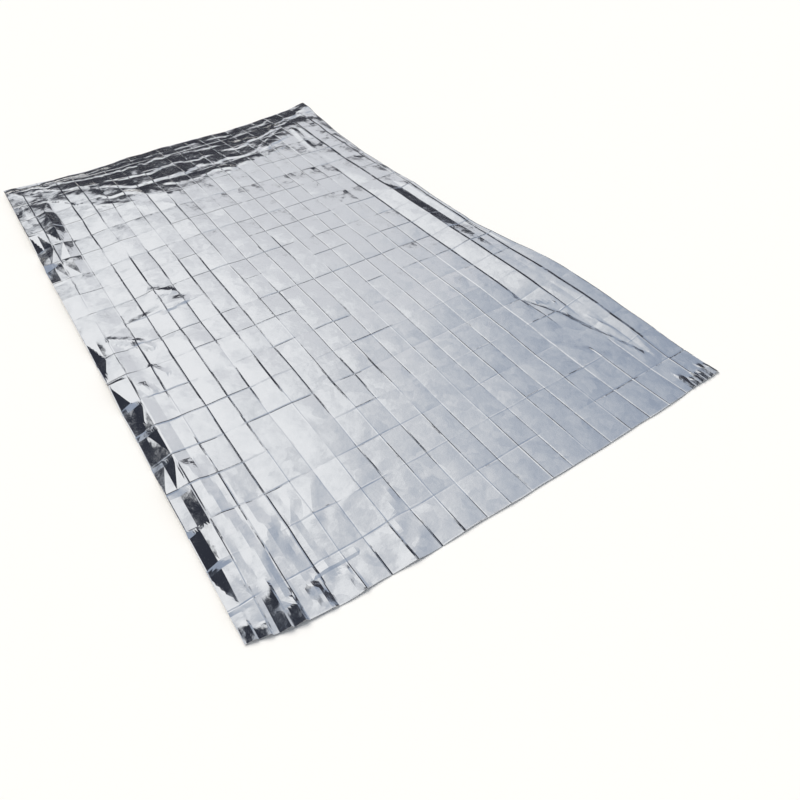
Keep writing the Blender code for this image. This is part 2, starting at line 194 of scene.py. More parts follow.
# The left margin in millimetres, one row of folds at a time from the near edge: heights
# at its near and far end of the cut edge, the middle of strip 1 and the middle of strip 2
Margin = namedtuple("Margin", "edge middle pleat")
LEFT_MARGIN = (
    Margin(edge=(0, 6), middle=(0, 9), pleat=(0, 9)),
    Margin(edge=(10, 0), middle=(12, 12), pleat=(11, 12)),
    Margin(edge=(3, 3), middle=(19, 16), pleat=(12, 14)),
    Margin(edge=(14, 15), middle=(12, 13), pleat=(13, 15)),
    Margin(edge=(18, 0), middle=(18, 10), pleat=(16, 14)),
    Margin(edge=(5, 0), middle=(15, 10), pleat=(15, 14)),
    Margin(edge=(5, 0), middle=(15, 10), pleat=(16, 14)),
    Margin(edge=(5, 19), middle=(20, 21), pleat=(16, 14)),
    Margin(edge=(12, 3), middle=(16, 15), pleat=(14, 13)),
    Margin(edge=(0, 12), middle=(13, 14), pleat=(13, 13)),
    Margin(edge=(13, 13), middle=(15, 16), pleat=(13, 14)),
    Margin(edge=(14, 15), middle=(16, 18), pleat=(14, 14)),
    Margin(edge=(16, 14), middle=(18, 15), pleat=(15, 17)),
    Margin(edge=(18, 0), middle=(18, 11), pleat=(17, 27)),
    Margin(edge=(19, 0), middle=(19, 11), pleat=(19, 29)),
    Margin(edge=(0, 20), middle=(11, 20), pleat=(21, 31)),
    Margin(edge=(18, 16), middle=(19, 17), pleat=(31, 25)),
    Margin(edge=(16, 7), middle=(17, 16), pleat=(24, 14)),
    Margin(edge=(14, 13), middle=(15, 13), pleat=(13, 9)),
    Margin(edge=(11, 3), middle=(11, 4), pleat=(8, 4)),
)
MARGIN_CREST = (
    Station(place=-1.05, value=2),
    Station(place=-0.92, value=16),
    Station(place=-0.70, value=23),
    Station(place=-0.30, value=23),
    Station(place=0.00, value=18),
    Station(place=0.30, value=20),
    Station(place=0.60, value=22),
    Station(place=0.85, value=15),
    Station(place=1.05, value=5),
)
MARGIN_INNER_SHARE = 0.45
MARGIN_STRIPS = (0, 0.5, 1, 1.5, 2, 3, 5)
PANEL_END = 6 / 7

# The right margin in millimetres, from the near edge: heights at folds 18 to 20, one
# seventh of a strip past two of them, the middle of strip 20 and the cut edge
Ruck = namedtuple("Ruck", "along fold_18 fold_19 step_19 middle_20 fold_20 step_20 edge")
RIGHT_RUCKS = (
    Ruck(along=-1.05, fold_18=0, fold_19=0, step_19=0, middle_20=0, fold_20=0, step_20=0, edge=0),
    Ruck(along=-0.93, fold_18=0, fold_19=0, step_19=0, middle_20=0, fold_20=1, step_20=0, edge=2),
    Ruck(along=-0.80, fold_18=0, fold_19=0, step_19=0, middle_20=4, fold_20=13, step_20=11, edge=14),
    Ruck(along=-0.68, fold_18=0, fold_19=1, step_19=1, middle_20=11, fold_20=19, step_20=17, edge=20),
    Ruck(along=-0.50, fold_18=-3, fold_19=15, step_19=12, middle_20=16, fold_20=20, step_20=18, edge=21),
    Ruck(along=-0.36, fold_18=-3, fold_19=15, step_19=12, middle_20=13, fold_20=15, step_20=13, edge=18),
    Ruck(along=-0.14, fold_18=-3, fold_19=13, step_19=11, middle_20=8, fold_20=9, step_20=8, edge=12),
    Ruck(along=-0.08, fold_18=-3, fold_19=14, step_19=12, middle_20=5, fold_20=11, step_20=11, edge=16),
    Ruck(along=0.20, fold_18=-3, fold_19=13, step_19=11, middle_20=4, fold_20=12, step_20=12, edge=18),
    Ruck(along=0.27, fold_18=-2, fold_19=9, step_19=7, middle_20=7, fold_20=9, step_20=9, edge=14),
    Ruck(along=0.50, fold_18=0, fold_19=5, step_19=3, middle_20=5, fold_20=6, step_20=5, edge=8),
    Ruck(along=0.75, fold_18=0, fold_19=3, step_19=1, middle_20=3, fold_20=4, step_20=2, edge=4),
    Ruck(along=0.90, fold_18=0, fold_19=2, step_19=0, middle_20=1, fold_20=2, step_20=0, edge=1),
    Ruck(along=1.05, fold_18=0, fold_19=0, step_19=0, middle_20=0, fold_20=0, step_20=0, edge=0),
)
RUCK_REACH = 0.80
RUCK_FOLDS = (17 + 6 / 7, 18, 19, 19 + 1 / 7, 19 + 9 / 14, 20, 20 + 1 / 7, 21)

# Swags in the hanging part: past its path the film rises sharply and falls away slowly. The
# rise is in millimetres; each crest wanders off its path and is broken into lengths
Swag = namedtuple("Swag", "path rise width tail")
SWAGS = (
    Swag(
        path=((-0.60, 0.985), (-0.42, 0.995), (0.05, 0.985), (0.30, 0.98), (0.60, 1.0)),
        rise=1.4,
        width=0.008,
        tail=0.060,
    ),
    Swag(
        path=(
            (-0.76, 0.97), (-0.52, 0.905), (-0.44, 0.915), (0.02, 0.925),
            (0.22, 0.905), (0.55, 0.93), (0.77, 0.96),
        ),
        rise=2.2,
        width=0.008,
        tail=0.070,
    ),
    Swag(
        path=((-0.66, 0.90), (-0.44, 0.825), (-0.20, 0.82), (0.10, 0.84), (0.30, 0.825), (0.55, 0.88)),
        rise=3.2,
        width=0.009,
        tail=0.085,
    ),
    Swag(
        path=((-0.52, 0.84), (-0.30, 0.755), (-0.15, 0.73), (0.10, 0.755), (0.30, 0.745), (0.50, 0.84)),
        rise=3.6,
        width=0.010,
        tail=0.080,
    ),
    Swag(
        path=((-0.80, 0.965), (-0.70, 0.875), (-0.52, 0.775), (-0.30, 0.655), (-0.20, 0.59)),
        rise=4.0,
        width=0.014,
        tail=0.060,
    ),
    Swag(
        path=((-0.67, 0.82), (-0.58, 0.74), (-0.46, 0.655), (-0.36, 0.60)),
        rise=3.6,
        width=0.012,
        tail=0.055,
    ),
    Swag(
        path=((-0.52, 0.665), (-0.42, 0.62), (-0.30, 0.555)),
        rise=2.0,
        width=0.010,
        tail=0.040,
    ),
    Swag(
        path=((-0.14, 0.69), (0.0, 0.665), (0.10, 0.68), (0.17, 0.65)),
        rise=2.7,
        width=0.010,
        tail=0.060,
    ),
    Swag(
        path=((0.14, 0.655), (0.25, 0.67)),
        rise=3.6,
        width=0.012,
        tail=0.080,
    ),
    Swag(
        path=((-0.10, 0.60), (0.03, 0.585)),
        rise=1.8,
        width=0.010,
        tail=0.035,
    ),
    Swag(
        path=((-0.22, 0.55), (-0.12, 0.52)),
        rise=1.5,
        width=0.010,
        tail=0.035,
    ),
    Swag(
        path=((0.40, 0.745), (0.50, 0.785), (0.58, 0.82)),
        rise=3.4,
        width=0.010,
        tail=0.060,
    ),
    Swag(
        path=((0.34, 0.69), (0.42, 0.70), (0.48, 0.74)),
        rise=2.0,
        width=0.009,
        tail=0.035,
    ),
    Swag(
        path=((0.56, 0.90), (0.70, 0.95), (0.78, 0.99)),
        rise=2.4,
        width=0.010,
        tail=0.040,
    ),
)
SWAG_END = 0.04
SWAG_LENGTH = 0.085

# How far the crests wander: the size of each wave across, and how far it strays along
SWAG_WANDER = ((0.075, 0.016), (0.028, 0.008))

# Rucks and pleats that leave the fold grid, in metres: a height below zero is a hollow
PLEATS = (
    Ridge(start=(-0.705, -0.58), end=(-0.665, -0.98), height=0.0042, half_width=0.026),
    Ridge(start=(-0.640, -0.66), end=(-0.605, -0.99), height=0.0024, half_width=0.026),
    Ridge(start=(-0.570, -0.74), end=(-0.545, -0.97), height=0.0032, half_width=0.024),
    Ridge(start=(-0.62, 0.000), end=(-0.53, 0.010), height=0.0030, half_width=0.018),
    Ridge(start=(-0.50, 0.012), end=(-0.42, 0.020), height=0.0042, half_width=0.028),
    Ridge(start=(-0.51, -0.012), end=(-0.42, 0.004), height=0.0026, half_width=0.010),
    Ridge(start=(-0.42, 0.010), end=(-0.37, 0.000), height=0.0018, half_width=0.014),
    Ridge(start=(-0.50, 0.105), end=(-0.44, 0.075), height=0.0034, half_width=0.022),
    Ridge(start=(-0.495, 0.040), end=(-0.44, 0.066), height=0.0030, half_width=0.022),
    Ridge(start=(-0.715, -0.048), end=(-0.64, -0.092), height=0.0032, half_width=0.018),
    Ridge(start=(-0.645, -0.095), end=(-0.615, -0.130), height=0.0042, half_width=0.020),
    Ridge(start=(-0.65, -0.212), end=(-0.62, -0.250), height=0.0036, half_width=0.018),
    Ridge(start=(-0.70, -0.270), end=(-0.68, -0.300), height=0.0036, half_width=0.018),
    Ridge(start=(-0.66, -0.06), end=(-0.42, -0.22), height=0.0030, half_width=0.050),
    Ridge(start=(-0.48, -0.22), end=(-0.40, -0.32), height=0.0020, half_width=0.040),
    Ridge(start=(0.600, 0.83), end=(0.578, 0.66), height=0.0040, half_width=0.022),
    Ridge(start=(0.640, 0.83), end=(0.640, 0.76), height=0.0030, half_width=0.016),
    Ridge(start=(0.562, -0.510), end=(0.600, -0.575), height=-0.0026, half_width=0.010),
    Ridge(start=(0.600, -0.575), end=(0.628, -0.640), height=-0.0032, half_width=0.014),
    Ridge(start=(0.637, -0.665), end=(0.648, -0.715), height=-0.0032, half_width=0.015),
    Ridge(start=(0.652, -0.735), end=(0.670, -0.790), height=-0.0026, half_width=0.012),
    Ridge(start=(0.670, -0.800), end=(0.692, -0.890), height=-0.0024, half_width=0.012),
    Ridge(start=(0.600, -0.560), end=(0.635, -0.600), height=0.0024, half_width=0.008),
    Ridge(start=(0.672, -0.700), end=(0.690, -0.790), height=0.0022, half_width=0.009),
    Ridge(start=(0.36, -0.53), end=(0.41, -0.62), height=0.0016, half_width=0.024),
    Ridge(start=(0.10, -0.62), end=(0.26, -0.72), height=0.0018, half_width=0.026),
    Ridge(start=(0.36, -0.72), end=(0.43, -0.83), height=0.0018, half_width=0.028),
    Ridge(start=(0.50, -0.74), end=(0.58, -0.84), height=0.0018, half_width=0.026),
    Ridge(start=(0.59, -0.60), end=(0.66, -0.80), height=0.0020, half_width=0.030),
    Ridge(start=(0.20, -0.36), end=(0.28, -0.48), height=0.0016, half_width=0.030),
    Ridge(start=(-0.66, -0.87), end=(-0.59, -0.80), height=0.0020, half_width=0.026),
    Ridge(start=(-0.58, -0.86), end=(-0.52, -0.78), height=0.0022, half_width=0.026),
    Ridge(start=(-0.50, -0.85), end=(-0.44, -0.76), height=0.0020, half_width=0.026),
    Ridge(start=(-0.36, -1.05), end=(-0.27, -0.99), height=0.0022, half_width=0.030),
    Ridge(start=(-0.44, -0.86), end=(-0.24, -0.80), height=0.0016, half_width=0.024),
    Ridge(start=(-0.34, -0.99), end=(-0.28, -0.88), height=0.0018, half_width=0.022),
    Ridge(start=(-0.60, -0.99), end=(-0.585, -1.06), height=0.0050, half_width=0.018),
    Ridge(start=(-0.505, -0.99), end=(-0.495, -1.06), height=0.0035, half_width=0.014),
    Ridge(start=(-0.58, -0.965), end=(-0.46, -0.965), height=0.0022, half_width=0.010),
)

# Gathers where the film bunches along the near edge, at both corners. First, last and
# pitch are in strips, and the reach of each one varies
Gather = namedtuple("Gather", "first last reach pitch height lean")
GATHERS = (
    Gather(first=0, last=1, reach=0.060, pitch=6 / 12, height=0.0070, lean=5 / 6),
    Gather(first=1 + 2 / 12, last=2, reach=0.125, pitch=5 / 12, height=0.0105, lean=4 / 5),
    Gather(first=19 + 5 / 14, last=21, reach=0.060, pitch=4 / 14, height=0.0045, lean=1 / 4),
)
GATHER_FULLNESS = 2.2
GATHER_SEED = 72

# Where the film is creased harder than elsewhere: a zone grows from its start to full
Zone = namedtuple("Zone", "start full share")
FAR_ZONE = Zone(start=0.35, full=0.70, share=0.5)
LEFT_ZONE = Zone(start=-0.64, full=-0.74, share=0.8)
RIGHT_ZONE = Zone(start=0.66, full=0.76, share=0.5)
RIGHT_ZONE_ALONG = Zone(start=-0.10, full=0.30, share=1.0)
HUNG_ZONE = Zone(start=-0.10, full=0.04, share=1.0)
CORNER_ZONE = Patch(across=-0.70, along=-1.00, radius=0.36, height=1.1)
CORNER_STRETCH = 2.6
EVEN_CRUMPLE = 0.46

# The crumpled facets, and how far their corners stray, as a share of their size
Facets = namedtuple("Facets", "width length height seed")
HUNG_FACETS = Facets(width=0.120, length=0.080, height=0.0016, seed=11)
CRUMPLED_FACETS = (
    Facets(width=0.075, length=0.105, height=0.0011, seed=21),
    Facets(width=0.042, length=0.055, height=0.0006, seed=31),
    Facets(width=0.022, length=0.030, height=0.0003, seed=41),
)
FACET_STRAY = 0.35

# Cells between one fold and the next
Cells = namedtuple("Cells", "first last count")
CELLS_ACROSS = (
    Cells(first=1, last=2, count=12),
    Cells(first=3, last=5, count=8),
    Cells(first=6, last=17, count=4),
    Cells(first=18, last=STRIPS, count=14),
)
CELLS_ALONG = (
    Cells(first=1, last=2, count=14),
    Cells(first=3, last=9, count=7),
    Cells(first=10, last=11, count=14),
    Cells(first=12, last=15, count=7),
    Cells(first=16, last=ROWS, count=14),
)


def smooth(share):
    """An S-shaped step from 0 to 1."""
    share = np.clip(share, 0.0, 1.0)
    return share * share * (3.0 - 2.0 * share)


def between(stations, place):
    """The value at each place, on a smooth curve through the stations."""
    spots = np.array([station.place for station in stations])
    values = np.array([station.value for station in stations], dtype=float)
    slopes = np.gradient(values, spots)
    before = np.clip(np.searchsorted(spots, place) - 1, 0, len(spots) - 2)
    gap = spots[before + 1] - spots[before]
    share = np.clip((place - spots[before]) / gap, 0.0, 1.0)
    value = values[before] + (values[before + 1] - values[before]) * smooth(share)
    value += gap * slopes[before] * share * (1 - share) ** 2
    return value - gap * slopes[before + 1] * share**2 * (1 - share)


def lay(across, along):
    """Where a place of the cut sheet lies on the floor."""
    first_fold = -CUT_WIDTH / 2 + STRIP
    tucked = first_fold - (first_fold - across) * LEFT_STRIP_LAID / STRIP
    laid = np.where(across < first_fold, tucked, across) + between(STRIP_SHIFT, across)
    fan = smooth((across - FAN_START) / (FAN_END - FAN_START))
    laid = laid + fan * between(RIGHT_FOLD_SHIFT, along)
    last_fold = CUT_WIDTH / 2 - STRIP
    laid += smooth((across - last_fold) / STRIP) * between(RIGHT_EDGE_SHIFT, along)

    half_length = CUT_LENGTH / 2
    share = (along + half_length) / CUT_LENGTH
    x = laid * (NEAR_SHARE + share * (FAR_SHARE - NEAR_SHARE))
    near_pull = smooth((EDGE_REACH - half_length - along) / EDGE_REACH)
    far_pull = smooth((along - half_length + EDGE_REACH) / EDGE_REACH)
    y = along * LENGTH_SHARE + between(ROW_SHIFT, along)
    y = y + near_pull * between(NEAR_EDGE_DRAW, across)
    y -= far_pull * between(FAR_EDGE_DRAW, across)
    return x, y


def zigzag(count):
    """Up on each even fold, down on each odd one, straight between them."""
    lower = np.floor(count)
    sign = 1.0 - 2.0 * (lower % 2)
    return sign * (1.0 - 2.0 * (count - lower))


def drift(across, along, size_across, size_along, seed):
    """Soft unevenness from -1 to 1, as wide and long as the two sizes."""
    u = (across + CUT_WIDTH) / size_across
    v = (along + CUT_LENGTH) / size_along
    i = np.floor(u).astype(int)
    j = np.floor(v).astype(int)
    table = np.random.default_rng(seed).uniform(-1, 1, (i.max() + 2, j.max() + 2))
    fu = smooth(u - i)
    fv = smooth(v - j)
    near = table[i, j] * (1 - fu) + table[i + 1, j] * fu
    far = table[i, j + 1] * (1 - fu) + table[i + 1, j + 1] * fu
    return near * (1 - fv) + far * fv


def creased(table, turned, u, v):
    """Heights on flat three-cornered facets between the table's points."""
    i = np.clip(np.floor(u).astype(int), 0, table.shape[0] - 2)
    j = np.clip(np.floor(v).astype(int), 0, table.shape[1] - 2)
    fu = u - i
    fv = v - j
    low, right = table[i, j], table[i + 1, j]
    top, high = table[i, j + 1], table[i + 1, j + 1]
    one_way = np.where(
        fu + fv < 1,
        low + fu * (right - low) + fv * (top - low),
        high + (1 - fu) * (top - high) + (1 - fv) * (right - high),
    )
    other_way = np.where(
        fu > fv,
        low + fu * (right - low) + fv * (high - right),
        low + fv * (top - low) + fu * (high - top),
    )
    return np.where(turned[i, j], other_way, one_way)


def facets(across, along, size_across, size_along, seed):
    """Flat facets from -1 to 1 with no order, as creased film breaks into."""
    stray = [FACET_STRAY * drift(across, along, size_across, size_along, seed + step) for step in (1, 2)]
    u = (across + CUT_WIDTH) / size_across + stray[0]
    v = (along + CUT_LENGTH) / size_along + stray[1]
    shape = (int(u.max()) + 2, int(v.max()) + 2)
    random = np.random.default_rng(seed)
    return creased(random.uniform(-1, 1, shape), random.random(shape) < 0.5, u, v)


def ridge_relief(ridge, across, along):
    """A tent-shaped ridge or hollow along a straight line, with round ends."""
    run_across = ridge.end[0] - ridge.start[0]
    run_along = ridge.end[1] - ridge.start[1]
    from_start = (across - ridge.start[0]) * run_across + (along - ridge.start[1]) * run_along
    share = np.clip(from_start / (run_across**2 + run_along**2), 0.0, 1.0)
    away = np.hypot(
        across - ridge.start[0] - share * run_across,
        along - ridge.start[1] - share * run_along,
    )
    return ridge.height * np.clip(1.0 - away / ridge.half_width, 0.0, 1.0)


def fold_relief(across, along):
    """The accordion of long and cross folds, their lips and the panels' crowns."""
    strips = (across + CUT_WIDTH / 2) / STRIP
    rows = (along + CUT_LENGTH / 2) / ROW
    relief = between(LONG_FOLD_RISE, across) * zigzag(strips) + CROSS_FOLD_RISE * zigzag(rows)
    crown = np.sin(np.pi * (strips % 1.0)) * np.sin(np.pi * (rows % 1.0))
    relief += PANEL_CROWN * crown * (1 + drift(across, along, STRIP, ROW, 3))
    nearest = np.round(strips)
    lip = np.clip(1 - np.abs(strips - nearest) * STRIP / LIP_HALF_WIDTH, 0, 1)
    wear = np.clip(0.75 + 0.75 * drift(across, along, STRIP, LIP_RUN, 5), 0.1, 1.4)
    in_ruck = (nearest > 17) & (nearest < STRIPS) & (np.abs(along) < RUCK_REACH)
    relief += LONG_LIP * (1 - 2 * (nearest % 2)) * lip * np.where(in_ruck, 0, wear)
    nearest = np.round(rows)
    lip = np.clip(1 - np.abs(rows - nearest) * ROW / LIP_HALF_WIDTH, 0, 1)
    wear = np.clip(0.65 + 0.8 * drift(across, along, STRIP, ROW, 6), 0, 1.4)
    relief += CROSS_LIP * (1 - 2 * (nearest % 2)) * lip * wear
    return relief


def hang_relief(across, along):
    """The fall of the film towards the far edge, past the line where it tips down."""
    past = along - between(HANG_START, across)
    started = np.clip(past, 0, None) ** 2 / (2 * HANG_EASE)
    eased = np.where(past < HANG_EASE, started, past - HANG_EASE / 2)
    return -between(HANG_SLOPE, across) * eased


def swag_relief(swag, across, along, seed):
    """A swag of the hanging part, with a wandering crest."""
    line = np.interp(across, *zip(*swag.path))
    for number, (size, stray) in enumerate(SWAG_WANDER):
        line = line + stray * drift(across, 0 * along, size, 1.0, seed + number)
    past = along - line
    height = np.where(past < swag.width, past / swag.width, 1 - (past - swag.width) / swag.tail)
    left_end = smooth(1 + (across - swag.path[0][0]) / SWAG_END)
    right_end = smooth(1 + (swag.path[-1][0] - across) / SWAG_END)
    broken = np.clip(0.75 + 0.9 * drift(across, 0 * along, SWAG_LENGTH, 1.0, seed + 2), 0.1, 1.3)
    return swag.rise * MM * np.clip(height, 0, 1) * left_end * right_end * broken


def left_relief(across, along):
    """The left margin: its crest at fold 1, and the facets on each side of it."""
    strips = (across + CUT_WIDTH / 2) / STRIP
    rows = np.clip((along + CUT_LENGTH / 2) / ROW, 0, ROWS - 1e-6)
    ends = [row + end for row in range(ROWS) for end in (0.0, PANEL_END)] + [ROWS]
    along_ends = np.array(ends) * ROW - CUT_LENGTH / 2
    crest = between(MARGIN_CREST, along_ends)
    column = {
        name: [rise for margin in LEFT_MARGIN for rise in getattr(margin, name)] for name in Margin._fields
    }
    table = np.zeros((len(MARGIN_STRIPS), len(ends)))
    table[0, :-1] = column["edge"]
    table[1, :-1] = column["middle"]
    table[2] = crest
    table[3, :-1] = column["pleat"]
    table[4] = crest * MARGIN_INNER_SHARE
    table[5] = crest * MARGIN_INNER_SHARE**2
    table[:, -1] = table[:, -2]
    turned = np.zeros(table.shape, dtype=bool)
    turned[:, ::4] = True
    turned[3, :] = True
    u = np.interp(strips, MARGIN_STRIPS, range(len(MARGIN_STRIPS)))
    return MM * creased(table, turned, u, np.interp(rows, ends, range(len(ends))))


def right_relief(across, along):
    """The right margin: strip 19 rides up towards fold 19 and drops past it."""
    strips = (across + CUT_WIDTH / 2) / STRIP
    table = np.array([(0, *ruck[1:]) for ruck in RIGHT_RUCKS], dtype=float).T
    turned = np.zeros(table.shape, dtype=bool)
    turned[:, 1:3] = True
    u = np.interp(strips, RUCK_FOLDS, range(len(RUCK_FOLDS)))
    v = np.interp(along, [ruck.along for ruck in RIGHT_RUCKS], range(len(RIGHT_RUCKS)))
    return MM * creased(table, turned, u, v)


def gather_relief(gather, across, along):
    """Pointed gathers along the near edge: the lean is their gentle flank's share."""
    strips = (across + CUT_WIDTH / 2) / STRIP
    count = (strips - gather.first) / gather.pitch
    number = np.clip(np.floor(count).astype(int), 0, int((gather.last - gather.first) / gather.pitch))
    reach = gather.reach * np.random.default_rng(GATHER_SEED).uniform(0.55, 1.15, number.max() + 1)[number]
    tooth = count - np.floor(count)
    wave = np.where(tooth < gather.lean, tooth / gather.lean, (1 - tooth) / (1 - gather.lean))
    near = np.clip(GATHER_FULLNESS * (1 - (along + CUT_LENGTH / 2) / reach), 0, 1)
    inside = (strips >= gather.first) & (strips <= gather.last)
    return gather.height * wave * near * inside


def zone_share(zone, place):
    """A zone's share at each place."""
    return zone.share * smooth((place - zone.start) / (zone.full - zone.start))


def facet_relief(kind, across, along):
    """One kind of crumpled facets, up and down by its height."""
    return kind.height * facets(across, along, kind.width, kind.length, kind.seed)


def crumple(across, along):
    """Creased facets: strong at the far end, the margins and the near left corner."""
    strength = EVEN_CRUMPLE + zone_share(FAR_ZONE, along) + zone_share(LEFT_ZONE, across)
    strength += zone_share(RIGHT_ZONE, across) * zone_share(RIGHT_ZONE_ALONG, along)
    away = np.hypot((across - CORNER_ZONE.across) / CORNER_STRETCH, along - CORNER_ZONE.along)
    strength += CORNER_ZONE.height * smooth(1 - away / CORNER_ZONE.radius)
    hung = zone_share(HUNG_ZONE, along - between(HANG_START, across))
    relief = hung * facet_relief(HUNG_FACETS, across, along)
    for kind in CRUMPLED_FACETS:
        relief += strength * facet_relief(kind, across, along)
    return relief


def film_height(across, along):
    """How far the film's underside stands above the floor."""
    broad = (between(SWELL_ALONG, along) + hang_relief(across, along)) * between(SWELL_ACROSS, across)
    broad = broad + left_relief(across, along)
    for patch in PATCHES:
        away = np.hypot(across - patch.across, along - patch.along)
        broad = broad + patch.height * smooth(1 - away / patch.radius)
    relief = fold_relief(across, along) + right_relief(across, along) + crumple(across, along)
    for number, swag in enumerate(SWAGS):
        relief = relief + swag_relief(swag, across, along, 51 + 3 * number)
    for ridge in PLEATS:
        relief = relief + ridge_relief(ridge, across, along)
    for gather in GATHERS:
        relief = relief + gather_relief(gather, across, along)
    return np.maximum(np.maximum(broad, 0.0) + relief + RELIEF_LIFT, 0.0) + FLOOR_GAP


def grid_lines(groups, pitch, size):
    """Grid lines from the cells of each gap, with two close to every fold for its lip."""
    lines = [-size / 2]
    lip = LIP_HALF_WIDTH / pitch
    for group in groups:
        inner = [lip, *(step / group.count for step in range(1, group.count)), 1 - lip, 1.0]
        for gap in range(group.first - 1, group.last):
            lines.extend(-size / 2 + pitch * (gap + share) for share in inner)
    return np.array(lines)


def film_mesh():
    """The sheet's lower face as a grid along the folds."""
    across, along = np.meshgrid(
        grid_lines(CELLS_ACROSS, STRIP, CUT_WIDTH), grid_lines(CELLS_ALONG, ROW, CUT_LENGTH)
    )
    x, y = lay(across, along)
    x = x + FOLD_WANDER * drift(across, along, STRIP, ROW, 8)
    y = y + FOLD_WANDER * drift(across, along, STRIP, ROW, 9)
    x = x - (x.min() + x.max()) / 2
    y = y - (y.min() + y.max()) / 2
    z = film_height(across, along)
    rows, columns = across.shape
    corner = np.arange(rows * columns).reshape(rows, columns)
    low, right, far, high = (
        part.ravel() for part in (corner[:-1, :-1], corner[:-1, 1:], corner[1:, :-1], corner[1:, 1:])
    )
    middle = [(line[:-1, :-1] + line[1:, 1:]).ravel() / 2 for line in (across, along)]
    centre = film_height(*middle)
    height = z.ravel()
    rising_miss = np.abs(height[low] + height[high] - 2 * centre)
    falling_miss = np.abs(height[right] + height[far] - 2 * centre)
    rising = rising_miss < falling_miss
    halves = [
        np.stack([low, right, np.where(rising, high, far)], axis=-1),
        np.stack([np.where(rising, low, right), high, far], axis=-1),
    ]
    mesh = bpy.data.meshes.new("film_sheet")
    mesh.from_pydata(np.stack([x, y, z], axis=-1).reshape(-1, 3), [], np.concatenate(halves).tolist())
    return mesh


def linear(hex_colour):
    """A colour written as sRGB hex, turned to the linear values that shaders take."""
    values = [int(hex_colour[i : i + 2], 16) / 255 for i in (0, 2, 4)]
    return [v / 12.92 if v <= 0.04045 else ((v + 0.055) / 1.055) ** 2.4 for v in values] + [1.0]


def add_node(tree, kind, settings=None, links=None):
    """One shader node, with its settings and its inputs set or linked by name."""
    node = tree.nodes.new(kind)
    for name, value in (settings or {}).items():
        setattr(node, name, value)
    for name, value in (links or {}).items():
        if isinstance(value, bpy.types.NodeSocket):
            tree.links.new(value, node.inputs[name])
        else:
            node.inputs[name].default_value = value
    return node


# Crinkles in the film: their width in metres, and how far each tilts, as a slope. Their
# edges bend by a warp, and finer wrinkles and rubbed patches lie over them
CRINKLES = ((0.034, 0.065), (0.014, 0.040))
WARP_SIZE = 0.05
WARP_STRAY = 0.05
WRINKLE_SIZE = 0.018
WRINKLE_DEPTH = 0.0006
RUBBED_SIZE = 0.045
CLEAN_ROUGHNESS = 0.10
RUBBED_ROUGHNESS = 0.20


def metallised_pet_film():
    """Metallised PET film: aluminium about 0.03 micrometres thick, evaporated on clear film.

    It is a bright, cool grey mirror. The fine crinkles left by packing scatter it a
    little, and the dulled patches are where the folds have rubbed."""
    material = bpy.data.materials.new("metallised_pet_film")
    material.use_nodes = True
    tree = material.node_tree
    shader = tree.nodes["Principled BSDF"]
    shader.inputs["Base Color"].default_value = linear("E6E8EB")
    shader.inputs["Metallic"].default_value = 1.0
    place = add_node(tree, "ShaderNodeTexCoord").outputs["Object"]
    rubbed = add_node(
        tree, "ShaderNodeTexNoise", links={"Vector": place, "Scale": 1 / RUBBED_SIZE, "Detail": 3.0}
    )
    roughness = add_node(
        tree,
        "ShaderNodeMapRange",
        links={
            "Value": rubbed.outputs["Fac"],
            "From Min": 0.3,
            "From Max": 0.7,
            "To Min": CLEAN_ROUGHNESS,
            "To Max": RUBBED_ROUGHNESS,
        },
    )
    tree.links.new(roughness.outputs["Result"], shader.inputs["Roughness"])
    warp = add_node(
        tree, "ShaderNodeTexNoise", links={"Vector": place, "Scale": 1 / WARP_SIZE, "Detail": 2.0}
    )
    strayed = add_node(
        tree,
        "ShaderNodeVectorMath",
        {"operation": "MULTIPLY_ADD"},
        {0: warp.outputs["Color"], 1: (WARP_STRAY, WARP_STRAY, 0.0), 2: place},
    )
    normal = add_node(tree, "ShaderNodeNewGeometry").outputs["Normal"]
    for size, tilt in CRINKLES:
        flat = add_node(
            tree,
            "ShaderNodeTexVoronoi",
            links={"Vector": strayed.outputs["Vector"], "Scale": 1 / size},
        )
        centred = add_node(
            tree,
            "ShaderNodeVectorMath",
            {"operation": "SUBTRACT"},
            {0: flat.outputs["Color"], 1: (0.5, 0.5, 0.5)},
        )
        tilted = add_node(
            tree,
            "ShaderNodeVectorMath",
            {"operation": "MULTIPLY_ADD"},
            {0: centred.outputs["Vector"], 1: (tilt, tilt, 0.0), 2: normal},
        )
        normal = tilted.outputs["Vector"]
    crinkle = add_node(
        tree, "ShaderNodeTexNoise", links={"Vector": place, "Scale": 1 / WRINKLE_SIZE, "Detail": 4.0}
    )
    bump = add_node(
        tree,
        "ShaderNodeBump",
        links={
            "Height": crinkle.outputs["Fac"],
            "Strength": 1.0,
            "Distance": WRINKLE_DEPTH,
            "Normal": normal,
        },
    )
    tree.links.new(bump.outputs["Normal"], shader.inputs["Normal"])
    return material


bpy.ops.object.select_all(action="DESELECT")
film = bpy.data.objects.new("film_sheet", film_mesh())
bpy.context.scene.collection.objects.link(film)
film.data.materials.append(metallised_pet_film())
bpy.context.view_layer.objects.active = film
film.select_set(True)
wall = film.modifiers.new("film_thickness", "SOLIDIFY")
wall.thickness = FILM_THICKNESS
wall.offset = 1.0
bpy.ops.object.modifier_apply(modifier=wall.name)
bpy.ops.object.shade_smooth_by_angle(angle=math.radians(SHARP_FOLD_ANGLE))

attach(film, "root")
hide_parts("foil_sheet")

# The floor
# A plain pale studio floor, wide enough to fill every view down to the horizon.

FLOOR_SIZE = 120.0

